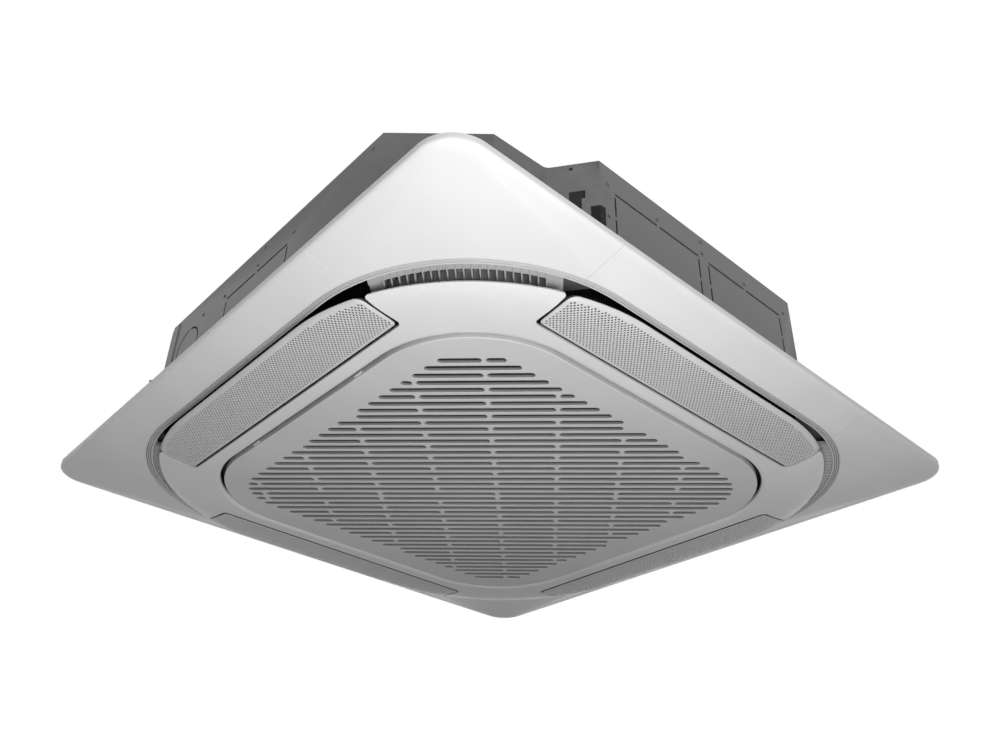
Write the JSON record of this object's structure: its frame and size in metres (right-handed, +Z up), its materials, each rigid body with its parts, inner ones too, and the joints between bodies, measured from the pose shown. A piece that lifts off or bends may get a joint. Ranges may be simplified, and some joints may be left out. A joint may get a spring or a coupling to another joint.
{
  "type": "ceiling cassette air conditioner",
  "caption": "Four-way ceiling cassette indoor unit: square panel with perforated air blades and a slotted intake grille under a sheet-metal casing with fan, coil and drain pump.",
  "frame": {"origin": "centre of the unit on the ceiling plane, level with the top of the panel rim", "axes": "+Z up into the ceiling void, -Y towards the front side whose casing wall has the round knock-out, +X towards the side with the pipe recess"},
  "size_m": [0.95, 0.95, 0.2186],
  "materials": {
    "panel_plastic": "satin moulded white",
    "blade_plastic": "fine matt white, perforated",
    "grille_plastic": "fine matt white",
    "duct_plastic": "light grey moulded",
    "filter_mesh": "fine net",
    "sheet_steel": "dull galvanised",
    "foam": "moulded foam",
    "fin_aluminium": "thin fins",
    "copper": "drawn copper tube",
    "union_brass": "machined",
    "fan_plastic": "moulded",
    "shaft_steel": "ground",
    "motor_metal": "dull",
    "rubber": "matt",
    "pump_plastic": "moulded",
    "board": "lacquered board",
    "terminal_plastic": "moulded"
  },
  "bodies": {
    "unit": {"bell_mouth": "duct_plastic", "blade_bearings": "duct_plastic", "blade_motors": "motor_metal", "cable_grommet": "rubber", "casing_rivets": "sheet_steel", "casing_shell": "sheet_steel", "ceiling_seal": "foam", "centre_surround": "panel_plastic", "centre_tub": "duct_plastic", "coil_fins": "fin_aluminium", "coil_u_bends": "copper", "control_board": "board", "control_box": "sheet_steel", "control_cover": "sheet_steel", "corner_cover_back_left": "panel_plastic", "corner_cover_back_right": "panel_plastic", "corner_cover_front_left": "panel_plastic", "corner_cover_front_right": "panel_plastic", "drain_pan": "foam", "drain_pipe": "pump_plastic", "drain_pump": "pump_plastic", "fan_motor": "motor_metal", "fin_comb_back_left": "duct_plastic", "fin_comb_back_right": "duct_plastic", "fin_comb_front_left": "duct_plastic", "fin_comb_front_right": "duct_plastic", "flare_unions": "union_brass", "float_switch": "pump_plastic", "foam_liner": "foam", "gas_line": "copper", "grille_hinges": "grille_plastic", "hanger_bracket_back_left": "sheet_steel", "hanger_bracket_back_right": "sheet_steel", "hanger_bracket_front_left": "sheet_steel", "hanger_bracket_front_right": "sheet_steel", "liquid_line": "copper", "motor_bolts": "sheet_steel", "motor_bracket": "sheet_steel", "motor_bushes": "rubber", "outlet_rim": "panel_plastic", "panel_frame": "panel_plastic", "panel_screws": "sheet_steel", "terminal_block": "terminal_plastic", "top_plate": "sheet_steel"},
    "blade_front": {"air_blade_front": "blade_plastic"},
    "blade_right": {"air_blade_right": "blade_plastic"},
    "blade_back": {"air_blade_back": "blade_plastic"},
    "blade_left": {"air_blade_left": "blade_plastic"},
    "fan": {"turbo_fan": "fan_plastic", "motor_shaft": "shaft_steel", "fan_nut": "shaft_steel"},
    "grille": {"intake_grille": "grille_plastic", "filter_frame": "grille_plastic", "filter_net": "filter_mesh"},
    "latch_left": {"grille_latch_left": "grille_plastic"},
    "latch_right": {"grille_latch_right": "grille_plastic"},
    "float": {"float_ring": "fan_plastic"},
    "impeller": {"pump_impeller": "fan_plastic"}
  },
  "joints": [
    {"name": "blade_front_swing", "type": "hinge", "parent": "unit", "child": "blade_front", "pos_m": [0, -0.356, -0.03], "axis": [1, 0, 0], "range_deg": [0, 50]},
    {"name": "blade_right_swing", "type": "hinge", "parent": "unit", "child": "blade_right", "pos_m": [0.356, 0, -0.03], "axis": [0, 1, 0], "range_deg": [0, 50]},
    {"name": "blade_back_swing", "type": "hinge", "parent": "unit", "child": "blade_back", "pos_m": [0, 0.356, -0.03], "axis": [-1, 0, 0], "range_deg": [0, 50]},
    {"name": "blade_left_swing", "type": "hinge", "parent": "unit", "child": "blade_left", "pos_m": [-0.356, 0, -0.03], "axis": [0, -1, 0], "range_deg": [0, 50]},
    {"name": "fan_spin", "type": "hinge", "parent": "unit", "child": "fan", "pos_m": [0, 0, 0.09], "axis": [0, 0, 1], "continuous": true},
    {"name": "grille_swing", "type": "hinge", "parent": "unit", "child": "grille", "pos_m": [0, 0.309, -0.031], "axis": [1, 0, 0], "range_deg": [0, 45]},
    {"name": "latch_left_slide", "type": "slide", "parent": "grille", "child": "latch_left", "axis": [0, 1, 0], "range_m": [0, 0.005], "stiffness_N_per_m": 300, "springref_m": -0.004},
    {"name": "latch_right_slide", "type": "slide", "parent": "grille", "child": "latch_right", "axis": [0, 1, 0], "range_m": [0, 0.005], "stiffness_N_per_m": 300, "springref_m": -0.004},
    {"name": "float_lift", "type": "slide", "parent": "unit", "child": "float", "axis": [0, 0, 1], "range_m": [0, 0.008]},
    {"name": "impeller_spin", "type": "hinge", "parent": "unit", "child": "impeller", "pos_m": [0.28, -0.288, 0.03], "axis": [0, 0, 1], "continuous": true}
  ]
}
